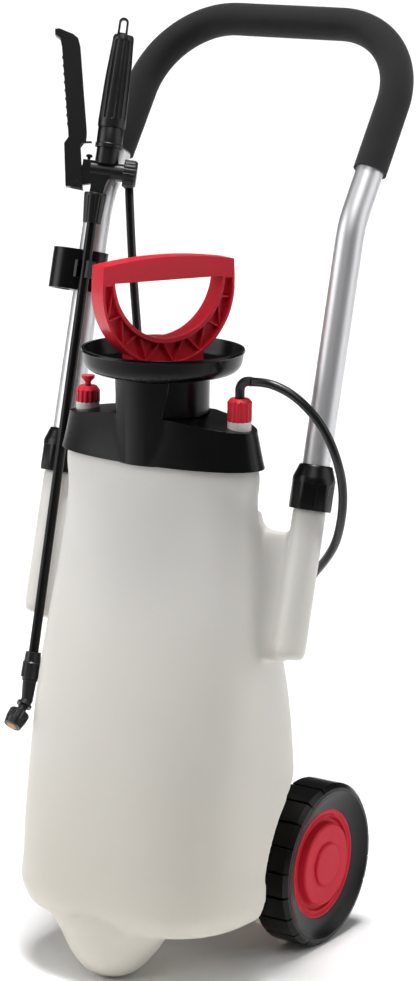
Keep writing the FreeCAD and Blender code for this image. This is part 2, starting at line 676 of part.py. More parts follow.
stand(turned("piston", [
    (0, d.piston_z), (14, d.piston_z), (19.4, d.piston_z + 3), (19.4, d.piston_z + 6), (16.5, d.piston_z + 6),
    (16.5, d.piston_z + 10), (19.4, d.piston_z + 10), (19.4, d.piston_z + 14), (8, d.piston_z + 18), (0, d.piston_z + 18)]))
stand(turned("piston_seal", [
    (16.6, d.piston_z + 6.2), (19.93, d.piston_z + 6.2), (19.93, d.piston_z + 9.8), (16.6, d.piston_z + 9.8)]))
rod_top = d.pull_low_z + 2
stand(turned("pump_rod", [(0, d.piston_z + 18), (rod_r, d.piston_z + 18), (rod_r, rod_top), (0, rod_top)]))

pull_r = d.pull_width / 2
ring_z = d.pull_low_z + pull_r
grip_z = ring_z + 8.5
window_half = pull_r - 12.5
window_r = 56.63
window_z = grip_z + 3.8
edge = 2.4
pull = body_of("pump_handle")
pull_outline = draw(pull, "pull_outline", "XZ_Plane", [
    [(-pull_r, ring_z), (pull_r, ring_z, pull_r), (pull_r, grip_z), (pull_r - 1, grip_z + 15),
     (1 - pull_r, grip_z + 15, 420), (-pull_r, grip_z)],
    [(-window_half, grip_z), (window_half, grip_z, window_r)]])
extrude(pull, pull_outline, d.pull_thickness, both=True)
base_outline = draw(pull, "pull_base", "XZ_Plane", [
    [(-37, floor_z + 2), (37, floor_z + 2), (37, floor_z + 19.5), (-37, floor_z + 19.5)]])
extrude(pull, base_outline, d.pull_thickness - 1.6, both=True)
recess = draw(pull, "pull_recess", "XZ_Plane", [
    [(edge - pull_r, ring_z), (pull_r - edge, ring_z, pull_r - edge), (pull_r - edge, grip_z - 2),
     (window_half + edge, grip_z - 2), (-window_half - edge, grip_z - 2, -window_r - edge),
     (edge - pull_r, grip_z - 2)]],
    d.pull_thickness / 2)
cut_front = extrude(pull, recess, 7, cut=True)
doc.recompute()
mirror = pull.newObject("PartDesign::Mirrored", "pull_recess_back")
mirror.Originals = [cut_front]
mirror.MirrorPlane = (origin_feature(pull, "XZ_Plane"), [""])
pull.Tip = mirror
rib_count = 13
for i in range(rib_count):
    ends = []
    rim_circles = ((window_r + 1.2, window_z), (pull_r - 1.2, ring_z))
    for step, (radius, middle_z) in zip((0, 1) if i % 2 == 0 else (1, 0), rim_circles):
        turn = math.radians(190 + 160 * (i + step) / rib_count)
        ends.append(Vector(float(radius) * math.cos(turn), float(middle_z) + float(radius) * math.sin(turn), 0))
    side_step = Vector(ends[0].y - ends[1].y, ends[1].x - ends[0].x, 0).normalize() * 0.8
    rib = [(point.x, point.y) for point in (ends[0] + side_step, ends[0] - side_step, ends[1] - side_step,
                                            ends[1] + side_step)]
    extrude(pull, draw(pull, f"pull_rib_{i}", "XZ_Plane", [rib]), d.pull_thickness - 5, both=True)
bore = draw(pull, "pull_bore", "XY_Plane", [(0, 0, "circle", rod_r + 0.05)], floor_z)
extrude(pull, bore, rod_top - floor_z, cut=True, back=True)
stand(pull, 0, 0, 0, (UP, float(d.pull_yaw)))


# Relief valve, left on the shoulder

seat_z = d.fitting_z + 4.5
stand(turned("relief_body", [
    (3, d.tank_roof_z - 8), (7.5, d.tank_roof_z - 8), (7.5, d.tank_roof_z), (10.6, d.tank_roof_z),
    (10.6, seat_z), (7, seat_z), (7, seat_z + 8), (5.5, seat_z + 8), (5.5, seat_z - 8), (3, seat_z - 8)]),
    -d.fitting_x)
relief_nut = turned("relief_nut", [
    (7.1, seat_z), (nut_r, seat_z), (nut_r, seat_z + 10.5), (nut_r - 3, seat_z + 14.5), (3, seat_z + 14.5),
    (3, seat_z + 11), (7.1, seat_z + 11)])
flutes(relief_nut, nut_r + 0.9, 1.9, seat_z, seat_z + 11, 14)
stand(relief_nut, -d.fitting_x)
stand(turned("relief_knob", [
    (0, seat_z - 6.4), (4.6, seat_z - 6.4), (4.6, seat_z - 4.9), (2.94, seat_z - 4.9), (2.94, seat_z + 18),
    (6.2, seat_z + 21.5), (6.2, seat_z + 24), (0, seat_z + 24)]), -d.fitting_x)
stand(turned("relief_seal", [(3.1, seat_z - 8), (5.3, seat_z - 8), (5.3, seat_z - 6.5), (3.1, seat_z - 6.5)]), -d.fitting_x)
stand(shape_node("relief_spring", coil(0.5, 4.2, 2.8, 14)), -d.fitting_x, 0, seat_z - 4.3)

# Hose outlet, right on the shoulder: base, nut, sleeve, and the dip tube with its strainer

stand(turned("outlet_base", [
    (2.5, d.tank_roof_z - 14), (7.5, d.tank_roof_z - 14), (7.5, d.tank_roof_z), (10.7, d.tank_roof_z),
    (10.7, seat_z + 0.5), (6.8, seat_z + 0.5), (6.8, seat_z + 12.5), (2.5, seat_z + 12.5)]), d.fitting_x)
nut_low = seat_z + 0.6
hose_nut = turned("hose_nut", [
    (7, nut_low), (nut_r, nut_low), (nut_r, nut_low + 17.5), (nut_r - 2.6, nut_low + 20.5), (4.5, nut_low + 20.5),
    (4.5, nut_low + 13), (7, nut_low + 13)])
flutes(hose_nut, nut_r + 0.9, 1.9, nut_low, nut_low + 18.4, 14)
stand(hose_nut, d.fitting_x)
sleeve_low = Vector(float(d.fitting_x), 0, float(nut_low) + 13)
sleeve_corner = Vector(float(d.fitting_x), 0, 554.2)
sleeve_end = sleeve_corner + Vector(12, 0.6, -0.6)
sleeve_path = rounded_wire([sleeve_low, sleeve_corner, sleeve_end], [9])
stand(shape_node("hose_sleeve", swept_tube(sleeve_path, 4.3, 2.6)))
dip_low = float(d.tank_floor_z) + 16
dip_points = [Vector(float(d.fitting_x), 0, float(d.tank_roof_z) - 14), Vector(float(d.fitting_x), 0, 150),
              Vector(60, -10, dip_low + 6)]
stand(shape_node("dip_tube", swept_tube(rounded_wire(dip_points, [60]), 4, 2.6)))
dip_end = dip_points[-1]
dip_way = (dip_points[1] - dip_points[2]).normalize()
strainer = turned("strainer", [(0, -6), (6, -6), (7, -4), (7, 12), (4.2, 14), (4.2, 0), (0, 0)])
stand(strainer, dip_end.x, dip_end.y, dip_end.z)
strainer.Placement = Placement(strainer.Placement.Base, Rotation(UP, dip_way))

# Spray gun: everything is drawn upright on the lance axis, +X to the right of the person who looks at it

GUN_TURNS = (LEG_TURN, (UP, float(d.gun_yaw)), (BACK, float(d.gun_tip)))
gun_turn = Rotation(*GUN_TURNS[0]) * Rotation(*GUN_TURNS[1]) * Rotation(*GUN_TURNS[2])
lance_point = along_leg(-1, float(d.gun_z))
gun_spot = (d.lance_offset_x - d.handle_half_width, d.lance_offset_y + lance_point.y, d.gun_z)


def at_gun(thing, across=0, away=0, up=0, *turns):
    """Put a sub-part at a place given in the gun's own directions."""
    shift = gun_turn.multVec(Vector(float(across), float(away), float(up)))
    return stand(thing, *[Size.of(part) + offset for part, offset in zip(gun_spot, shift)], *GUN_TURNS, *turns)


def gun_point(across, away, up):
    """A point given in the gun's directions, in the frame of the pump axis."""
    return Vector(*[float(part) for part in gun_spot]) + gun_turn.multVec(Vector(across, away, up))


gun = body_of("gun_body")
block = draw(gun, "gun_block", "XZ_Plane", [[(-15.5, -1), (-15.5, 15.5), (-2, 15.5), (-2, 20), (14, 20), (14, 8),
                                             (8, -6), (7, -13), (-5.5, -13), (-5.5, -6), (-22, -11), (-22, -3)]])
extrude(gun, block, 12.6, both=True)
stem = draw(gun, "gun_neck", "XY_Plane", [(d.grip_offset, 0, "circle", 11)], 14)
extrude(gun, stem, 15)
cross = draw(gun, "gun_cross_tube", "YZ_Plane", [(0, d.plunger_z, "circle", 7.8)], -8)
extrude(gun, cross, 31)
spigot = draw(gun, "gun_spigot", "XY_Plane", [(0, 0, "circle", 6)], -24)
extrude(gun, spigot, 14)
valve_room = draw(gun, "gun_valve_room", "YZ_Plane", [(0, d.plunger_z, "circle", 5.6)], -2)
extrude(gun, valve_room, 40, cut=True, back=True)
plunger_way = draw(gun, "gun_plunger_way", "YZ_Plane", [(0, d.plunger_z, "circle", 2.56)], -30)
extrude(gun, plunger_way, 40, cut=True, back=True)
inlet_way = draw(gun, "gun_inlet_way", "XZ_Plane", [(5.2, 5, "circle", 2)])
extrude(gun, inlet_way, 12, cut=True)
outlet_way = draw(gun, "gun_outlet_way", "XY_Plane", [(0, 0, "circle", 2.5)], -30)
extrude(gun, outlet_way, 34, cut=True, back=True)
pin_hole = draw(gun, "gun_pin_hole", "XZ_Plane", [(d.lever_pivot_x, d.lever_pivot_z, "circle", 2.03)], -20)
extrude(gun, pin_hole, 40, cut=True, back=True)
button_way = draw(gun, "gun_button_way", "XY_Plane", [(-10.5, 0, "circle", 1.56)], 10.8)
extrude(gun, button_way, 10, cut=True, back=True)
lock_slot = draw(gun, "gun_lock_slot", "XZ_Plane", [[(-12, 22), (1, 22), (1, 40), (-12, 40)]])
extrude(gun, lock_slot, 4.6, cut=True, both=True)
at_gun(gun)

grip = turned("gun_grip", [(0, 48), (12.9, 48), (13.1, 54), (12.2, 93), (9.7, 132), (8.7, 134.5), (0, 134.5)])
leaning_flutes(grip, (13.9, 56), (10.9, 129.5), 2.2, 12)
at_gun(grip, d.grip_offset)
grip_collar = turned("grip_collar", [
    (0, 29), (12.9, 29), (12.9, 32.5), (12.2, 33.2), (12.2, 47.2), (11.8, 48), (0, 48)])
collar_slot = draw(grip_collar, "collar_lock_slot", "XZ_Plane", [
    [(-18, 20), (1 - d.grip_offset, 20), (1 - d.grip_offset, 36), (-18, 36)]])
extrude(grip_collar, collar_slot, 4.6, cut=True, both=True)
at_gun(grip_collar, d.grip_offset)
tab = body_of("hanging_tab")
tab_outline = draw(tab, "tab_outline", "XZ_Plane", [[(-4.7, 134.5), (4.7, 134.5), (4.4, 147), (-4.4, 147, 4.5)]])
extrude(tab, tab_outline, 7, both=True)
tab_hole = draw(tab, "tab_hole", "XZ_Plane", [[(-2.7, 136.5), (2.7, 136.5), (2.6, 146.5), (-2.6, 146.5, 2.7)]])
extrude(tab, tab_hole, 10, cut=True, both=True)
at_gun(tab, d.grip_offset - 1.5)

lever = body_of("trigger_lever")
side_outline = [
    (-12.4, -12.6), (-19.8, 26.6), (-15.6, 33.5), (-15.9, 41), (-32.6, 119.5), (-35, 125.3), (-40, 128.4),
    (-53.5, 131.8), (-57.3, 130.8), (-56.6, 125.8), (-51.5, 123), (-48.6, 114.5), (-31.6, 33.5), (-34.9, 27.4),
    (-28.4, -11.6)]
inner_outline = [
    (-9, -20), (-11, 27), (-11, 60), (-29, 122), (-36, 126), (-41, 126), (-46.2, 114.5), (-29.2, 33.5), (-32.4, 27),
    (-26, -9.5), (-20, -16)]
extrude(lever, draw(lever, "lever_side", "XZ_Plane", [side_outline]), 18.4, both=True)
extrude(lever, draw(lever, "lever_inside", "XZ_Plane", [inner_outline]), 13.6, cut=True, both=True)
ridge_count = 9
for i in range(ridge_count):
    height = 46 + i * 7.5
    left = -33.9 - (height - 46) * 0.21
    ridge = draw(lever, f"lever_ridge_{i}", "XZ_Plane", [(left, height, "circle", 1.1)])
    extrude(lever, ridge, 15, both=True)
spur = draw(lever, "lever_spur", "XZ_Plane", [[(-32.5, 30), (-32.5, 27.5), (-9.4, 31.6), (-10.4, 33.2)]])
extrude(lever, spur, 3, both=True)
lever_hole = draw(lever, "lever_pin_hole", "XZ_Plane", [(d.lever_pivot_x, d.lever_pivot_z, "circle", 2.05)], -20)
extrude(lever, lever_hole, 40, cut=True, back=True)
at_gun(lever)
pin = turned("lever_pin", [(0, -9.4), (2, -9.4), (2, 9.4), (0, 9.4)])
at_gun(pin, d.lever_pivot_x, 0, d.lever_pivot_z, (RIGHT, 90))

along_plunger = (BACK, 90)
at_gun(turned("valve_plunger", [(0, -28.4), (2.5, -28.4), (2.5, 0.8), (4.9, 0.8), (4.9, 4), (1.6, 4), (1.6, 8), (0, 8)]),
       0, 0, d.plunger_z, along_plunger)
at_gun(turned("valve_seal", [(2.6, -1.6), (5.3, -1.6), (5.3, 0.6), (2.6, 0.6)]), 0, 0, d.plunger_z, along_plunger)
valve_spring = at_gun(shape_node("valve_spring", coil(0.7, 4.1, 3, 15)), 4.8, 0, d.plunger_z, along_plunger)
valve_cap = turned("valve_cap", [
    (0, 25), (4.2, 25), (4.2, 23), (12.2, 23), (12.8, 24), (12.8, 33), (11.2, 35.4), (0, 35.4)])
flutes(valve_cap, 13.3, 1.3, 22, 36, 20)
at_gun(valve_cap, 0, 0, d.plunger_z, along_plunger)
at_gun(turned("lock_button", [(0, 13.5), (1.5, 13.5), (1.5, 18.2), (3, 18.2), (3, 20), (1.8, 21), (0, 21)]), -10.5)

# Spray gun: lance nut, lance, nozzle nut, elbow, nozzle cap and tip

lance_nut = turned("lance_nut", [(6.1, -14), (10.2, -14), (10.7, -15.5), (8.4, -42), (4.7, -42), (4.7, -26), (6.1, -26)])
leaning_flutes(lance_nut, (10.1, -44), (12.4, -17), 2.3, 12)
at_gun(lance_nut)
lance_length = (d.gun_z - d.lance_low_z) / math.cos(math.radians(float(d.leg_lean)))
at_gun(turned("lance_tube", [(2.6, -lance_length), (lance_r, -lance_length), (lance_r, -24.2), (2.6, -24.2)]))
end = -lance_length
nozzle_nut = turned("nozzle_nut", [
    (lance_r + 0.1, end + 20), (7.1, end + 20), (7.8, end + 11), (8.8, end + 10), (9.1, end - 3.5), (7.4, end - 4),
    (7.2, end - 7), (lance_r + 0.1, end - 7)])
flutes(nozzle_nut, 11.6, 3.4, end - 5, end + 9.4, 8)
at_gun(nozzle_nut)
nozzle_way = Vector(-0.34, -0.45, -0.83).normalize()
elbow_top = Vector(0, 0, float(end) - 0.2)
elbow_corner = Vector(0, 0, float(end) - 25)
elbow_path = rounded_wire([elbow_top, elbow_corner, elbow_corner + nozzle_way * 22], [10])
stem = Part.makeCone(5.4, 6.5, 17.8, elbow_corner, UP)
knee = Part.makeSphere(5.4, elbow_corner).fuse(Part.makeCylinder(5.4, 5, elbow_corner, nozzle_way))
flange = Part.makeCylinder(7.3, 2.4, elbow_corner + nozzle_way * 4.5, nozzle_way)
elbow = swept_rod(elbow_path, 4.4).fuse([stem, knee, flange]).cut(swept_rod(elbow_path, 2.2))
at_gun(shape_node("nozzle_elbow", elbow))
nozzle_turn = Rotation(UP, nozzle_way)
nozzle_base = elbow_corner + nozzle_way * 14


def at_nozzle(thing):
    at_gun(thing, nozzle_base.x, nozzle_base.y, nozzle_base.z)
    thing.Placement = Placement(thing.Placement.Base, gun_turn * nozzle_turn)


nozzle_cap = turned("nozzle_cap", [
    (4.48, 0), (9.2, 0), (9.9, 1), (9.7, 8), (8.3, 15.5), (5.2, 15.5), (5.2, 12), (4.48, 12)])
flutes(nozzle_cap, 11.4, 2.4, -1, 10, 12)
at_nozzle(nozzle_cap)
at_nozzle(turned("nozzle_tip", [(0.6, 12), (5.1, 12), (5.1, 15.8), (3, 17.2), (0.6, 17.2)]))

# Hose: from the outlet over the right leg, round behind the socket, in a loop behind the tank and up to the gun

hose_way = Vector(0.11, -0.08, -1).normalize()
inlet_top = Vector(28, 24, 5)
inlet_end = inlet_top + gun_turn.inverted().multVec(hose_way) * 8
inlet_path = rounded_wire([Vector(3, 5.5, 5), inlet_top, inlet_end], [5])
inlet_elbow = swept_tube(inlet_path, 3.9, 2).cut(Part.makeBox(60, 20, 40, Vector(-30, -13.6, -20)))
inlet_elbow = inlet_elbow.cut(Part.makeCylinder(7.85, 60, Vector(-30, 0, float(d.plunger_z)), RIGHT))
at_gun(shape_node("inlet_elbow", inlet_elbow))
ferrule = turned("inlet_ferrule", [(4, 0), (5.2, 0), (5.2, 2.6), (4, 2.6)])
at_gun(ferrule, inlet_end.x, inlet_end.y, inlet_end.z)
ferrule.Placement = Placement(ferrule.Placement.Base, Rotation(UP, hose_way * -1))

hose_finish = gun_point(inlet_end.x, inlet_end.y, inlet_end.z)
hose_points = [
    sleeve_end, sleeve_end + Vector(14, 0.7, -0.7), Vector(120.5, 3.8, 549.3), Vector(132, 6.5, 543.7),
    Vector(143.5, 9, 534.8), Vector(154.5, 12, 523), Vector(164, 14.8, 508.8), Vector(171, 17.8, 491.5),
    Vector(175, 22, 471), Vector(174.3, 28, 449), Vector(167, 36.5, 430.5), Vector(153, 48.5, 406),
    Vector(133, 62, 382), Vector(107, 86, 342), Vector(77, 109, 302), Vector(43, 123, 271), Vector(8, 128, 259),
    Vector(-25, 126, 270), Vector(-50, 118, 298), Vector(-66, 107, 342), Vector(-73, 97, 393),
    Vector(-78, 90.5, 449), Vector(-83.5, 89.5, 507), Vector(-92, 93, 563), hose_finish + hose_way * 60, hose_finish]


def hose_radii(points):
    """Each arc as large as its two runs allow."""
    radii = []
    for before, corner, after in zip(points, points[1:], points[2:]):
        into = corner - before
        out = after - corner
        shorter = min(into.Length, out.Length)
        radii.append(0.45 * shorter / math.tan(into.getAngle(out) / 2))
    return radii


radii = hose_radii(hose_points)
print("hose radii", [round(radius, 1) for radius in radii])
print("hose finish from the pump axis", hose_finish, "before it", hose_points[-2])
print("sleeve end", sleeve_end)
hose_wire = rounded_wire(hose_points, radii)
hose = swept_rod(hose_wire, hose_r)
print("hose length", round(hose_wire.Length, 1), "volume ratio",
      round(hose.Volume / (math.pi * float(hose_r) ** 2 * hose_wire.Length), 4))
stand(shape_node("hose", hose))


# Check every object, then write one file for each sub-part

doc.recompute()
faults = []
for thing in doc.Objects:
    if {"Invalid", "Error"} & set(thing.State):
        faults.append(f"{thing.Name} {thing.State}")
for node in nodes:
    if node.Shape.isNull() or not node.Shape.isValid() or not node.Shape.Solids:
        faults.append(f"{node.Label} has no valid shape")
if faults:
    raise RuntimeError("; ".join(faults))
os.makedirs("parts", exist_ok=True)
for node in nodes:
    node.Shape.exportStep(f"parts/{node.Label}.step")
print(len(nodes), "sub-parts written")
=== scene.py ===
import math

import bpy
import numpy as np
from mathutils import Matrix, Vector


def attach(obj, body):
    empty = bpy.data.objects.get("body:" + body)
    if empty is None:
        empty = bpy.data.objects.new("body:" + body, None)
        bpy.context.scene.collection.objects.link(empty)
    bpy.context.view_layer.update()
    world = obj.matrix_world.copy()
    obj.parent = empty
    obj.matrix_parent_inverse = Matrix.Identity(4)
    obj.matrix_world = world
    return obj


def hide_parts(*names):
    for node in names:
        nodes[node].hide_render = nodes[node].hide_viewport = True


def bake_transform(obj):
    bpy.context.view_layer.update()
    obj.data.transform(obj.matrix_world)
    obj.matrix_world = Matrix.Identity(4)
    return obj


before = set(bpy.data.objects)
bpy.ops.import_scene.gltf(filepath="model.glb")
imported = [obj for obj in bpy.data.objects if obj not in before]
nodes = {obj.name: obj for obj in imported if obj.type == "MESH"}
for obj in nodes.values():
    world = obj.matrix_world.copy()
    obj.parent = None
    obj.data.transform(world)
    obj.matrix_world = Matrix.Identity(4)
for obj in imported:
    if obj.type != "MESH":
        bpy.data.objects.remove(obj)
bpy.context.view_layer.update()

# Studio: a pale floor under a broad white ceiling that lights the ground behind the cart, and soft
# boxes to the left, to the right and above. The camera stands to the right of the front, a little
# above the pump, at the photograph's distance.
scene = bpy.context.scene
scene.view_settings.view_transform = "Standard"
EYE = Vector((1.4564, -2.1892, 1.0052))
AZIMUTH, PITCH, ROLL = math.radians(33.17), math.radians(12.29), math.radians(0.85)
FOCAL_PIXELS, LONG_SIDE_PIXELS, SENSOR = 2910.2, 981, 36.0


def aim_camera():
    """Looks along the azimuth, down by the pitch, and rolls about the line of sight."""
    level = Vector((math.cos(AZIMUTH), math.sin(AZIMUTH), 0))
    ahead = Vector((-math.sin(AZIMUTH), math.cos(AZIMUTH), 0))
    forward = ahead * math.cos(PITCH) - Vector((0, 0, math.sin(PITCH)))
    upright = level.cross(forward)
    right = level * math.cos(ROLL) + upright * math.sin(ROLL)
    up = upright * math.cos(ROLL) - level * math.sin(ROLL)
    turn = Matrix((right, up, -forward)).transposed().to_4x4()
    lens = bpy.data.cameras.new("camera")
    lens.sensor_width = SENSOR
    lens.lens = FOCAL_PIXELS / LONG_SIDE_PIXELS * SENSOR
    lens.clip_end = 200
    camera = bpy.data.objects.new("camera", lens)
    camera.matrix_world = Matrix.Translation(EYE) @ turn
    scene.collection.objects.link(camera)
    scene.camera = camera


def linear(hex_colour):
    """sRGB hex to the linear colour that a shader takes."""
    parts = [int(hex_colour[i:i + 2], 16) / 255 for i in (1, 3, 5)]
    return [v / 12.92 if v <= 0.04045 else ((v + 0.055) / 1.055) ** 2.4 for v in parts] + [1.0]


def soft_lamp(name, place, target, size, watts, spread=180):
    """A rectangular soft box; a narrower spread in degrees is a honeycomb in front of it."""
    data = bpy.data.lights.new(name, "AREA")
    data.shape = "RECTANGLE"
    data.size, data.size_y = size
    data.energy = watts
    data.spread = math.radians(spread)
    lamp = bpy.data.objects.new(name, data)
    lamp.location = place
    lamp.rotation_euler = (Vector(target) - Vector(place)).to_track_quat("-Z", "Y").to_euler()
    scene.collection.objects.link(lamp)
    return lamp


aim_camera()
soft_lamp("soft_box_left", place=(-2.3, -2.1, 1.7), target=(0, 0, 0.5), size=(2.0, 2.2), watts=46)
soft_lamp("soft_box_right", place=(2.6, 1.2, 1.5), target=(0, 0, 0.5), size=(2.2, 2.6), watts=28)
soft_lamp("soft_box_above", place=(0.8, -1.7, 2.8), target=(0, 0, 0.55), size=(1.6, 1.2), watts=15)
CEILING_LENGTH, CEILING_WIDTH, CEILING_HEIGHT, CEILING_START = 24.0, 8.0, 4.5, -0.75
CEILING_WATTS, CEILING_SPREAD = 680, 24
ceiling_middle = CEILING_START + CEILING_LENGTH / 2
ceiling_spot = (-math.sin(AZIMUTH) * ceiling_middle, math.cos(AZIMUTH) * ceiling_middle, CEILING_HEIGHT)
ceiling = soft_lamp("white_ceiling", ceiling_spot, ceiling_spot[:2] + (0,), (CEILING_WIDTH, CEILING_LENGTH),
                    CEILING_WATTS, CEILING_SPREAD)
ceiling.rotation_euler.z = AZIMUTH
world = bpy.data.worlds.new("dim_room")
world.use_nodes = True
room_light = world.node_tree.nodes["Background"]
room_light.inputs["Color"].default_value = linear("#FFFFFF")
room_light.inputs["Strength"].default_value = 0.08
scene.world = world


def add_node(tree, kind, inputs=None, **settings):
    """One shader node with its settings, its fixed inputs, and its linked inputs."""
    made = tree.nodes.new(kind)
    for name, value in settings.items():
        setattr(made, name, value)
    for name, value in (inputs or {}).items():
        if isinstance(value, bpy.types.NodeSocket):
            tree.links.new(value, made.inputs[name])
        else:
            made.inputs[name].default_value = value
    return made


def new_material(name):
    """A new material; returns it with its tree and its shader."""
    material = bpy.data.materials.new(name)
    material.use_nodes = True
    tree = material.node_tree
    shader = tree.nodes["Principled BSDF"]
    return material, tree, shader


def object_place(tree):
    """Each point's place in metres, so that a pattern's scale is a real size."""
    return add_node(tree, "ShaderNodeTexCoord").outputs["Object"]


def per_metre(width_mm):
    """A pattern's scale: how many of its cells, each so many millimetres wide, go into a metre."""
    return 1000 / width_mm


def floor():
    """A flat square, painted matt white, that reaches past the top of the picture."""
    half = 30
    corners = [(-half, -half, 0), (half, -half, 0), (half, half, 0), (-half, half, 0)]
    mesh = bpy.data.meshes.new("floor")
    mesh.from_pydata(corners, [], [(0, 1, 2, 3)])
    ground = bpy.data.objects.new("floor", mesh)
    scene.collection.objects.link(ground)
    material, tree, shader = new_material("painted_floor_white")
    shader.inputs["Base Color"].default_value = linear("#F8F8F8")
    shader.inputs["Roughness"].default_value = 0.8
    shader.inputs["Specular IOR Level"].default_value = 0.1
    mesh.materials.append(material)


floor()

# Tank: one hollow blow moulding of milky polyethylene. It has a foot lobe in front, a socket for each leg
# held by a web, pockets for the wheels, and a tail between them that the axle runs through. The skin is
# soft and rounded all over.
PUMP_AXIS = np.array([10.9, -56.3, 0.0])
TANK_WIDE, TANK_DEEP, TANK_FLOOR, TANK_ROOF = 118.6, 108.0, 51.0, 488.0
tank_levels = np.array([
    # height, half width, half depth, squareness, middle
    (TANK_FLOOR, TANK_WIDE - 19, TANK_DEEP - 19, 2.6, 0),
    (56, TANK_WIDE - 9, TANK_DEEP - 9, 2.7, 0),
    (67, TANK_WIDE - 2, TANK_DEEP - 2.6, 2.8, 0.8),
    (104, TANK_WIDE, TANK_DEEP, 2.8, 3),
    (180, TANK_WIDE - 0.4, TANK_DEEP - 5, 2.7, 5),
    (265, TANK_WIDE - 2.3, TANK_DEEP - 19, 2.5, 5),
    (330, TANK_WIDE - 8.4, TANK_DEEP - 36, 2.35, 3.4),
    (390, TANK_WIDE - 15.8, TANK_DEEP - 53, 2.25, 2.5),
    (440, TANK_WIDE - 20.8, TANK_DEEP - 64, 2.2, 0.8),
    (474, TANK_WIDE - 18.6, TANK_DEEP - 69, 2.1, 0.4),
    (TANK_ROOF, TANK_WIDE - 24.6, TANK_DEEP - 74, 2.1, 0)])
FOOT_SPOT = np.array([-3.0, -66.0, 0.0])
FOOT_TOP = 78
foot_levels = np.array([
    (0, 9, 9, 2, 0), (1.5, 13.5, 13.5, 2, 0), (3, 17.5, 17.5, 2, 0), (6, 22.5, 22.5, 2, 0),
    (10, 28, 28, 2, 0), (16, 34, 33.5, 2, 0), (22, 38.5, 37, 2, 0), (30, 45, 39, 2, 0),
    (38, 50.5, 40, 2, 0), (46, 57, 40.5, 2, 0), (53, 66, 41, 2, 0), (60, 70, 40.8, 2, 0),
    (68, 67, 39.5, 2, 0), (FOOT_TOP, 60, 37, 2, 0)])
LEG_LEAN, LEG_HALF_WIDTH, LEG_Y, LEG_Z = math.radians(13.8), 137.5, 33.0, 440.0
SOCKET_FLOOR, SOCKET_RADIUS, SOCKET_EDGE = 307.5, 15.0, 6
# Across, the web starts near the leg's middle, is level as far as WEB_LEVEL, and rises in a corner into
# the tank.
WEB_START, WEB_LEVEL, WEB_END, WEB_CORNER = 4, 36, 66, 15
WEB_LOW, WEB_DROP, WEB_HALF, WEB_SQUARENESS = -4.0, 24.5, 9.0, 6
AXLE_Y, WHEEL_RADIUS = 113.0, 78.0
POCKET_START, POCKET_END, POCKET_RADIUS = 80.0, 190, 111.0
TAIL_END, TAIL_RADIUS, TAIL_ROOT = 79.8, 18, 26
SKIN_VOXEL, SKIN_ROUNDS = 0.0026, 8


def smooth_table(heights, table):
    """Each column of a table at any height, where t goes from 0 to 1 over the gap between rows a and b:
    a (1 + 2t) (1 - t)^2 + b t^2 (3 - 2t) + gap (slope at a t (1 - t)^2 + slope at b t^2 (t - 1)).
    A row's slope is the one between its neighbours."""
    z = table[:, 0]
    slope = np.gradient(table, z, axis=0)
    i = np.clip(np.searchsorted(z, heights) - 1, 0, len(z) - 2)
    gap = (z[i + 1] - z[i])[:, None]
    t = ((heights - z[i]) / gap[:, 0])[:, None]
    a, b = table[i], table[i + 1]
    return (a * (1 + 2 * t) * (1 - t) ** 2 + b * t ** 2 * (3 - 2 * t)
            + slope[i] * gap * t * (1 - t) ** 2 + slope[i + 1] * gap * t ** 2 * (t - 1))


def add_piece(name, vertices, faces):
    """A mesh object at the origin from vertex places and faces."""
    mesh = bpy.data.meshes.new(name)
    mesh.from_pydata(vertices.reshape(-1, 3).tolist(), [], faces)
    mesh.update()
    mesh.polygons.foreach_set("use_smooth", [True] * len(mesh.polygons))
    piece = bpy.data.objects.new(name, mesh)
    scene.collection.objects.link(piece)
    return piece


def grid_faces(rows, columns):
    """Quads of a grid whose columns go round, plus a cap over its first and last row."""
    row, column = np.meshgrid(np.arange(rows - 1), np.arange(columns), indexing="ij")
    low, high = row * columns, (row + 1) * columns
    beside = (column + 1) % columns
    quads = np.stack([low + column, low + beside, high + beside, high + column], axis=-1)
    first_cap = list(range(columns))[::-1]
    last_cap = [(rows - 1) * columns + i for i in range(columns)]
    return quads.reshape(-1, 4).tolist() + [first_cap, last_cap]


def level_form(name, levels, heights, spot):
    """Level outlines between an ellipse and a box: radius = (|cos|^n + |sin|^n)^(-1/n) times the half
    sizes, where n is the squareness."""
    _, a, b, n, middle = smooth_table(heights, levels).T[:, :, None]
    angle = np.linspace(0, 2 * np.pi, 144, endpoint=False)[None]
    cos, sin = np.cos(angle), np.sin(angle)
    reach = (np.abs(cos) ** n + np.abs(sin) ** n) ** (-1 / n)
    grid = np.stack([a * reach * cos, middle + b * reach * sin, heights[:, None] + 0 * cos], axis=-1)
    return add_piece(name, (grid + spot + PUMP_AXIS) / 1000, grid_faces(*grid.shape[:2]))


def tube_along(name, path, radii, columns=20):
    """A round tube: a ring's point is path + radius * (side * cos + up * sin), where side and up stand
    across the path's direction and are carried on from ring to ring without twist."""
    step = np.gradient(path, axis=0)
    step /= np.linalg.norm(step, axis=1, keepdims=True)
    leaning_up = [0.0, 0.3, 1.0]
    side = np.cross(step[0], leaning_up)
    sides = []
    for way in step:
        side = side - way * side.dot(way)
        side /= np.linalg.norm(side)
        sides.append(side)
    sides = np.array(sides)
    ups = np.cross(step, sides)
    angle = np.linspace(0, 2 * np.pi, columns, endpoint=False)
    radii = np.broadcast_to(radii, len(path))[:, None, None]
    ring = sides[:, None] * np.cos(angle)[None, :, None] + ups[:, None] * np.sin(angle)[None, :, None]
    return add_piece(name, path[:, None] + ring * radii, grid_faces(len(path), columns))


def plain_drum(name, start, end, radius, columns=96):
    """A straight drum with flat ends: the round tube along the line from start to end."""
    path = np.linspace(np.array(start, float), np.array(end, float), 4)
    return tube_along(name, (path + PUMP_AXIS) / 1000, radius / 1000, columns)


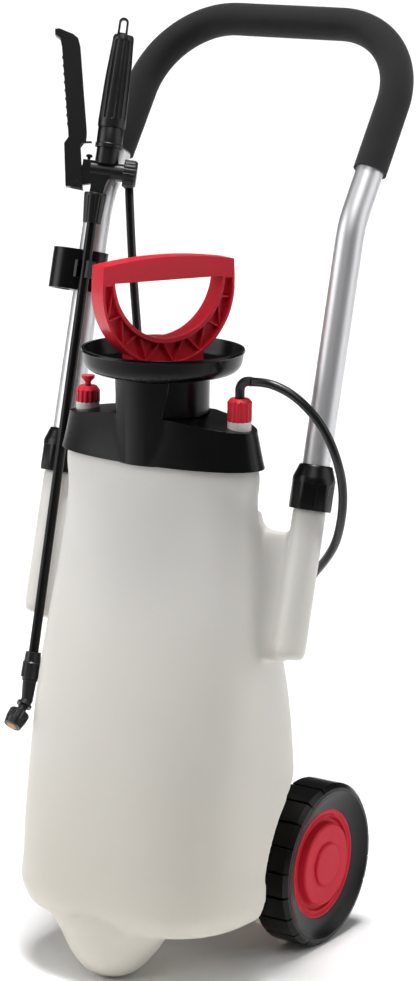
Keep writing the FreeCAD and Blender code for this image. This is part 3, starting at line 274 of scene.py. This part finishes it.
def leg_back(z):
    """How far back the leg's middle is at a height."""
    return LEG_Y + (z - LEG_Z) * math.tan(LEG_LEAN)


def socket_and_web(name, side):
    """The socket is a bar along the leg whose lower edge is a quarter circle. The web is a row of rounded
    slabs in the leg's own frame, each |x|^n + |y|^n = 1 times its half sizes. Its top is level, and rises
    by r - sqrt(r^2 - d^2) over the distance d where it meets the tank."""
    along = np.array([0, math.sin(LEG_LEAN), math.cos(LEG_LEAN)])
    across = np.array([0, math.cos(LEG_LEAN), -math.sin(LEG_LEAN)])
    inward = np.array([-side, 0, 0])
    foot = np.array([side * LEG_HALF_WIDTH, leg_back(SOCKET_FLOOR), SOCKET_FLOOR])
    length = (LEG_Z - SOCKET_FLOOR) / math.cos(LEG_LEAN)
    turn = np.linspace(0.2, np.pi / 2, 6)
    rise = np.append(SOCKET_EDGE * (1 - np.cos(turn)), length)
    inset = np.append(SOCKET_EDGE * (1 - np.sin(turn)), 0)
    path = foot + along * rise[:, None]
    socket = tube_along(f"{name}_socket", (path + PUMP_AXIS) / 1000, (SOCKET_RADIUS - inset) / 1000, 48)
    corner_steps = WEB_CORNER * np.sin(np.linspace(0.1, np.pi / 2, 10))
    reach_in = np.concatenate([[WEB_START, WEB_LEVEL], WEB_LEVEL + corner_steps, [WEB_END]])
    sunk = np.clip(reach_in - WEB_LEVEL, 0, WEB_CORNER)
    high = length - WEB_DROP + WEB_CORNER - np.sqrt(WEB_CORNER ** 2 - sunk ** 2)
    angle = np.linspace(0, 2 * np.pi, 48, endpoint=False)
    n = WEB_SQUARENESS
    reach = (np.abs(np.cos(angle)) ** n + np.abs(np.sin(angle)) ** n) ** (-1 / n)
    middle, half_height = (WEB_LOW + high) / 2, (high - WEB_LOW) / 2
    height = middle[:, None] + half_height[:, None] * (reach * np.sin(angle))[None]
    grid = (foot + inward * reach_in[:, None, None] + along * height[:, :, None]
            + across * (WEB_HALF * reach * np.cos(angle))[None, :, None])
    web = add_piece(f"{name}_web", (grid + PUMP_AXIS) / 1000, grid_faces(*grid.shape[:2]))
    return [socket, web]


def cut_with(target, cutter):
    """Takes the cutter's room out of the target."""
    step = target.modifiers.new("cut", "BOOLEAN")
    step.operation = "DIFFERENCE"
    step.solver = "EXACT"
    step.object = cutter


def applied(piece):
    """Replaces a piece's mesh by the mesh with its modifiers."""
    graph = bpy.context.evaluated_depsgraph_get()
    mesh = bpy.data.meshes.new_from_object(piece.evaluated_get(graph))
    piece.modifiers.clear()
    piece.data = mesh


def one_skin(name, parts, voxel, rounds):
    """Joins closed forms into one skin on a fine lattice and rounds their joints: each round moves a point
    half way to the mean of its neighbours."""
    vertices, faces, start = [], [], 0
    for part in parts:
        mesh = part.data
        places = np.empty(len(mesh.vertices) * 3, np.float32)
        corners = np.empty(len(mesh.loops), np.int32)
        counts = np.empty(len(mesh.polygons), np.int32)
        mesh.vertices.foreach_get("co", places)
        mesh.loops.foreach_get("vertex_index", corners)
        mesh.polygons.foreach_get("loop_total", counts)
        vertices.append(places.reshape(-1, 3))
        faces += np.split(corners + start, np.cumsum(counts)[:-1])
        start += len(mesh.vertices)
        bpy.data.objects.remove(part)
    skin = add_piece(name, np.concatenate(vertices), faces)
    remesh = skin.modifiers.new("lattice", "REMESH")
    remesh.mode = "VOXEL"
    remesh.voxel_size = voxel
    soften = skin.modifiers.new("soften", "SMOOTH")
    soften.factor = 0.5
    soften.iterations = rounds
    applied(skin)
    skin.data.polygons.foreach_set("use_smooth", [True] * len(skin.data.polygons))
    return skin


def milky_polyethylene():
    """Blow-moulded HDPE: light goes some way in and comes out warm. Its white is painted deeper and warmer
    towards the bottom: painted shade on the lower tank. It clouds a little every 110 mm, and the
    skin swells faintly every 70 mm and has a soft grain of 4 mm, drawn coarser than the real one so that
    it shows."""
    material, tree, shader = new_material("milky_polyethylene")
    place = object_place(tree)
    cloud = add_node(tree, "ShaderNodeTexNoise", {"Vector": place, "Scale": per_metre(110), "Detail": 3.0})
    height = add_node(tree, "ShaderNodeSeparateXYZ", {"Vector": place})
    # The white is painted darker and warmer from 0.46 m down to 0.1 m high: painted shade on the lower tank.
    painted_shade_by_height = add_node(tree, "ShaderNodeMapRange", {"Value": height.outputs["Z"], "From Min": 0.1,
                                                     "From Max": 0.46})
    cloud_and_painted_shade = add_node(tree, "ShaderNodeMath", {0: cloud.outputs["Fac"], 1: 0.25,
                                              2: painted_shade_by_height.outputs["Result"]}, operation="MULTIPLY_ADD")
    tint = add_node(tree, "ShaderNodeMix", {"Factor": cloud_and_painted_shade.outputs[0]}, data_type="RGBA")
    tint.inputs[6].default_value = linear("#C7C2B6")
    tint.inputs[7].default_value = linear("#DBD9D5")
    tree.links.new(tint.outputs[2], shader.inputs["Base Color"])
    skin = add_node(tree, "ShaderNodeTexNoise", {"Vector": place, "Scale": per_metre(3.8), "Detail": 3.0})
    swell = add_node(tree, "ShaderNodeTexNoise", {"Vector": place, "Scale": per_metre(71), "Detail": 1.0})
    both = add_node(tree, "ShaderNodeMath", {0: swell.outputs["Fac"], 1: 5.0, 2: skin.outputs["Fac"]},
                    operation="MULTIPLY_ADD")
    bump = add_node(tree, "ShaderNodeBump", {"Height": both.outputs[0], "Strength": 0.12,
                                             "Distance": 0.0004})
    tree.links.new(bump.outputs["Normal"], shader.inputs["Normal"])
    shader.inputs["Roughness"].default_value = 0.42
    shader.inputs["IOR"].default_value = 1.54
    shader.inputs["Subsurface Weight"].default_value = 0.35
    shader.inputs["Subsurface Radius"].default_value = (1.0, 0.85, 0.7)
    shader.inputs["Subsurface Scale"].default_value = 0.012
    return material


# The rows lie closer together where the tank and its foot turn up from their undersides.
tank_heights = np.concatenate([np.linspace(TANK_FLOOR, 70, 10), np.linspace(74, 470, 80),
                               np.linspace(474, TANK_ROOF, 4)])
foot_heights = np.concatenate([np.linspace(0, 10, 14), np.linspace(11, FOOT_TOP, 44)])
tank = level_form("tank_body", tank_levels, tank_heights, np.zeros(3))
for side in (-1, 1):
    pocket = plain_drum("wheel_pocket", (side * POCKET_START, AXLE_Y, WHEEL_RADIUS),
                        (side * POCKET_END, AXLE_Y, WHEEL_RADIUS), POCKET_RADIUS)
    cut_with(tank, pocket)
    applied(tank)
    bpy.data.objects.remove(pocket)
foot = level_form("tank_foot", foot_levels, foot_heights, FOOT_SPOT)
parts = [tank, foot]
for name, back in (("tank_tail", AXLE_Y), ("tank_tail_inner", AXLE_Y - TAIL_ROOT)):
    left_end, right_end = (-TAIL_END, back, WHEEL_RADIUS), (TAIL_END, back, WHEEL_RADIUS)
    parts.append(plain_drum(name, left_end, right_end, TAIL_RADIUS, 48))
for name, side in (("left", -1), ("right", 1)):
    parts += socket_and_web(name, side)
tank = one_skin("tank_skin", parts, SKIN_VOXEL, SKIN_ROUNDS)
tank.data.materials.append(milky_polyethylene())
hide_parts("tank_shell")
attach(tank, "cart")

# Wheels: a red polypropylene centre with a pressed-on hub cap, and a black tread moulded round it. They
# turn on a plated steel axle, which runs through the tank's tail between white nylon washers and is held by
# steel retainers. The mould leaves the tread a satin gloss, and the centres a duller one.
EDGE_ANGLE, WELD_GAP = math.radians(30), 0.000002


def dress(names, material):
    """Gives CAD nodes their material, and smooth faces between the edges sharper than the edge angle."""
    for name in names:
        piece = nodes[name]
        piece.data.materials.clear()
        piece.data.materials.append(material)
        piece.data.polygons.foreach_set("use_smooth", [True] * len(piece.data.polygons))
        weld = piece.modifiers.new("weld", "WELD")
        weld.merge_threshold = WELD_GAP
        edges = piece.modifiers.new("edges", "EDGE_SPLIT")
        edges.split_angle = EDGE_ANGLE


def moulded_plastic(name, colour, roughness, grain, edge=0.0005, specular=0.5):
    """Moulded plastic: fine grain in the skin, a gloss that varies a little every 33 mm, and edges rounded
    by the mould. The grain is drawn 1.1 mm wide, coarser than the real one, so that it shows."""
    material, tree, shader = new_material(name)
    place = object_place(tree)
    fine = add_node(tree, "ShaderNodeTexNoise", {"Vector": place, "Scale": per_metre(1.1), "Detail": 2.0})
    broad = add_node(tree, "ShaderNodeTexNoise", {"Vector": place, "Scale": per_metre(33), "Detail": 2.0})
    gloss = add_node(tree, "ShaderNodeMapRange", {"Value": broad.outputs["Fac"], "To Min": roughness - 0.05,
                                                  "To Max": roughness + 0.07})
    tree.links.new(gloss.outputs["Result"], shader.inputs["Roughness"])
    rounded = add_node(tree, "ShaderNodeBevel", {"Radius": edge}, samples=4)
    bump = add_node(tree, "ShaderNodeBump", {"Height": fine.outputs["Fac"], "Strength": grain,
                                             "Distance": 0.0003, "Normal": rounded.outputs["Normal"]})
    tree.links.new(bump.outputs["Normal"], shader.inputs["Normal"])
    shader.inputs["Base Color"].default_value = linear(colour)
    shader.inputs["IOR"].default_value = 1.49
    shader.inputs["Specular IOR Level"].default_value = specular
    return material


def plain_metal(name, colour, roughness):
    """Turned or plated metal: fine marks in the gloss, drawn 1.4 mm wide so that they show."""
    material, tree, shader = new_material(name)
    place = object_place(tree)
    marks = add_node(tree, "ShaderNodeTexNoise", {"Vector": place, "Scale": per_metre(1.4), "Detail": 2.0})
    gloss = add_node(tree, "ShaderNodeMapRange", {"Value": marks.outputs["Fac"], "To Min": roughness - 0.05,
                                                  "To Max": roughness + 0.1})
    tree.links.new(gloss.outputs["Result"], shader.inputs["Roughness"])
    shader.inputs["Base Color"].default_value = linear(colour)
    shader.inputs["Metallic"].default_value = 1.0
    return material


dress(["left_tyre", "right_tyre"],
      moulded_plastic("satin_tyre_black", "#050505", 0.3, 0.15, 0.0008, specular=0.22))
# The wheel centres' red is painted darker than the handle's red: painted shade.
dress(["left_rim", "right_rim", "left_hub_cap", "right_hub_cap"],
      moulded_plastic("matt_red_painted_darker", "#C22838", 0.46, 0.2, specular=0.08))
plated_steel = plain_metal("zinc_plated_steel", "#BDBEC2", 0.3)
white_nylon = moulded_plastic("natural_nylon_white", "#EDEBE6", 0.4, 0.1)
dress(["axle", "axle_retainers"], plated_steel)
dress(["axle_washers"], white_nylon)

# Shoulder cover: one moulding of black polypropylene with a fine spark-eroded grain, pushed over the
# tank's neck. The mould breaks its edges by half a millimetre, so they catch a thin line of light.
grained_black = moulded_plastic("grained_polypropylene_black", "#060607", 0.3, 0.12, specular=0.3)
dress(["shoulder_cover"], grained_black)

# Pump: a black cylinder that hangs in the neck on a rubber gasket, with a rod, a piston and a rubber seal
# in it. The cap screws over the neck, carries the filling dish and comes from a polished mould; its black is
# painted a little deeper than the cover's: painted shade. The handle is one red moulding with ribs in its
# back.
nitrile_rubber = moulded_plastic("nitrile_rubber_black", "#121212", 0.6, 0.2)
# The handle's and the nuts' red is painted lighter than the wheel centres' red: painted light.
satin_red = moulded_plastic("satin_red_painted_lighter", "#D8283A", 0.3, 0.08, specular=0.32)
dress(["pump_cylinder", "rod_guide", "pump_rod", "piston"], grained_black)
dress(["neck_gasket", "cylinder_valve", "piston_seal"], nitrile_rubber)
dress(["pump_cap"], moulded_plastic("polished_black_painted_deeper", "#030303", 0.24, 0.05, specular=0.2))
dress(["pump_handle"], satin_red)

# Relief valve and outlet: white nylon bases in the cover's shoulders with red nuts screwed on them. The
# relief knob stands on a rubber seal under a steel spring. The outlet draws through a dip tube with a
# strainer, and the hose leaves its nut through a black sleeve.
# This black is painted a little greyer than the cover's black: painted light.
greyer_painted_nylon = moulded_plastic("glass_filled_nylon_painted_greyer", "#121214", 0.36, 0.15)
dress(["relief_body", "outlet_base", "dip_tube"], white_nylon)
dress(["relief_nut", "relief_knob", "hose_nut"], satin_red)
dress(["relief_seal"], nitrile_rubber)
dress(["relief_spring"], plated_steel)
dress(["strainer"], grained_black)
dress(["hose_sleeve"], greyer_painted_nylon)

# Handle: one length of 25 mm aluminium tube, drawn, then bent, with both ends in the tank's sockets under
# black collars. It is left bare and bright, with fine lines along it.


def drawn_aluminium():
    """Drawn tube: the die leaves fine lines along its length, which stretch the reflections across it. They
    are drawn 1.1 mm wide, coarser than real ones, and 170 mm long."""
    material, tree, shader = new_material("drawn_aluminium")
    line_scale = (per_metre(1.1), per_metre(1.1), per_metre(170))
    stretch = add_node(tree, "ShaderNodeMapping", {"Vector": object_place(tree), "Scale": line_scale})
    lines = add_node(tree, "ShaderNodeTexNoise", {"Vector": stretch.outputs["Vector"], "Scale": 1.0,
                                                  "Detail": 2.0})
    gloss = add_node(tree, "ShaderNodeMapRange", {"Value": lines.outputs["Fac"], "To Min": 0.44,
                                                  "To Max": 0.5})
    tree.links.new(gloss.outputs["Result"], shader.inputs["Roughness"])
    bump = add_node(tree, "ShaderNodeBump", {"Height": lines.outputs["Fac"], "Strength": 0.05,
                                             "Distance": 0.0001})
    tree.links.new(bump.outputs["Normal"], shader.inputs["Normal"])
    shader.inputs["Base Color"].default_value = linear("#D8D8DA")
    shader.inputs["Metallic"].default_value = 1.0
    return material


dress(["handle_tube"], drawn_aluminium())
dress(["left_collar", "right_collar"], grained_black)

# Foam grip: a tube of closed-cell nitrile foam slid over the handle's bend. It is matte, with fine open
# cells in its skin and a dusty sheen.


def closed_cell_foam():
    """Nitrile foam: very matte, with a dusty sheen at grazing angles. Its pores of half a millimetre are
    drawn 1.1 mm wide so that they show."""
    material, tree, shader = new_material("closed_cell_foam")
    place = object_place(tree)
    pores = add_node(tree, "ShaderNodeTexVoronoi", {"Vector": place, "Scale": per_metre(1.1)})
    cloud = add_node(tree, "ShaderNodeTexNoise", {"Vector": place, "Scale": per_metre(17), "Detail": 3.0})
    tint = add_node(tree, "ShaderNodeMix", {"Factor": cloud.outputs["Fac"]}, data_type="RGBA")
    tint.inputs[6].default_value = linear("#110F10")
    tint.inputs[7].default_value = linear("#1B1819")
    tree.links.new(tint.outputs[2], shader.inputs["Base Color"])
    bump = add_node(tree, "ShaderNodeBump", {"Height": pores.outputs["Distance"], "Strength": 0.5,
                                             "Distance": 0.0004})
    tree.links.new(bump.outputs["Normal"], shader.inputs["Normal"])
    shader.inputs["Roughness"].default_value = 0.92
    shader.inputs["Sheen Weight"].default_value = 0.08
    return material


dress(["foam_grip"], closed_cell_foam())

# Lance clip: a black band round the left leg whose jaw holds the lance. It is moulded in the cover's
# plastic, as the lance tube is.
dress(["lance_clip", "lance_tube"], grained_black)

# Spray gun: nylon filled with glass fibre, a little duller than the cover; its black is painted a little
# greyer than the cover's: painted light. A lever on a pin pushes the valve against its steel spring and
# rubber seat, and the lance ends in an elbow with a cap over a turned brass tip.
dress(["gun_body", "gun_grip", "grip_collar", "hanging_tab", "trigger_lever", "lever_pin", "valve_plunger",
       "valve_cap", "lock_button", "lance_nut", "inlet_elbow", "inlet_ferrule", "nozzle_nut", "nozzle_elbow",
       "nozzle_cap"], greyer_painted_nylon)
dress(["valve_spring"], plated_steel)
dress(["valve_seal"], nitrile_rubber)
dress(["nozzle_tip"], plain_metal("turned_brass", "#A98763", 0.42))

# Hose: black PVC hose of 8 mm with a braid inside, held by the red nut at the outlet and by a ferrule at
# the gun. It bows out over the front of the right leg, turns in behind the right socket, hangs in a loop
# behind the tank and rises to the gun.
HOSE_RADIUS = 0.004
hose_route = np.array([
    (94.5, 0.6, 553.6), (108.5, 1.3, 554.4), (120.5, 3.8, 551.3), (132.8, 6.5, 545.7), (144.8, 9, 536.8),
    (156, 12, 524.8), (165.6, 14.8, 510), (172.6, 17.8, 492), (174.7, 24.9, 471), (174.4, 28.4, 451),
    (171.2, 30.5, 430.5), (161.8, 38.5, 409.5), (145, 49.5, 389.5), (120, 66, 367), (96, 88, 340),
    (72, 109, 302), (43, 123, 271), (8, 128, 259), (-25, 126, 270), (-50, 118, 298), (-66, 107, 342),
    (-73, 97, 393), (-78, 90.5, 449), (-83.5, 89.5, 507), (-92, 93, 563), (-106.522, 102.087, 640.829),
    (-113.062, 106.843, 700.281)])
hose_route = (hose_route + PUMP_AXIS) / 1000


def smooth_route(points, name):
    """The points of a NURBS line of order 3 through the route's control points."""
    curve = bpy.data.curves.new(name, "CURVE")
    curve.dimensions = "3D"
    spline = curve.splines.new("NURBS")
    spline.points.add(len(points) - 1)
    spline.points.foreach_set("co", np.column_stack([points, np.ones(len(points))]).ravel())
    spline.order_u = 3
    spline.use_endpoint_u = True
    spline.resolution_u = 10
    line = bpy.data.objects.new(name, curve)
    scene.collection.objects.link(line)
    mesh = bpy.data.meshes.new_from_object(line)
    path = np.empty(len(mesh.vertices) * 3, np.float32)
    mesh.vertices.foreach_get("co", path)
    bpy.data.objects.remove(line)
    return path.reshape(-1, 3).astype(float)


def reinforced_hose_black():
    """PVC hose with a smooth satin skin, so it carries one soft bright line along its length. The braid
    below makes it swell very slightly every 7 mm."""
    material, tree, shader = new_material("reinforced_hose_black")
    place = object_place(tree)
    spots = add_node(tree, "ShaderNodeTexNoise", {"Vector": place, "Scale": per_metre(7.1), "Detail": 2.0})
    bump = add_node(tree, "ShaderNodeBump", {"Height": spots.outputs["Fac"], "Strength": 0.05,
                                             "Distance": 0.0005})
    tree.links.new(bump.outputs["Normal"], shader.inputs["Normal"])
    shader.inputs["Base Color"].default_value = linear("#0C0C0D")
    shader.inputs["Roughness"].default_value = 0.3
    shader.inputs["IOR"].default_value = 1.53
    return material


hose_path = smooth_route(hose_route, "hose_route")
hose = tube_along("hose_skin", hose_path, HOSE_RADIUS)
hose.data.materials.append(reinforced_hose_black())
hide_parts("hose")
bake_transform(hose)
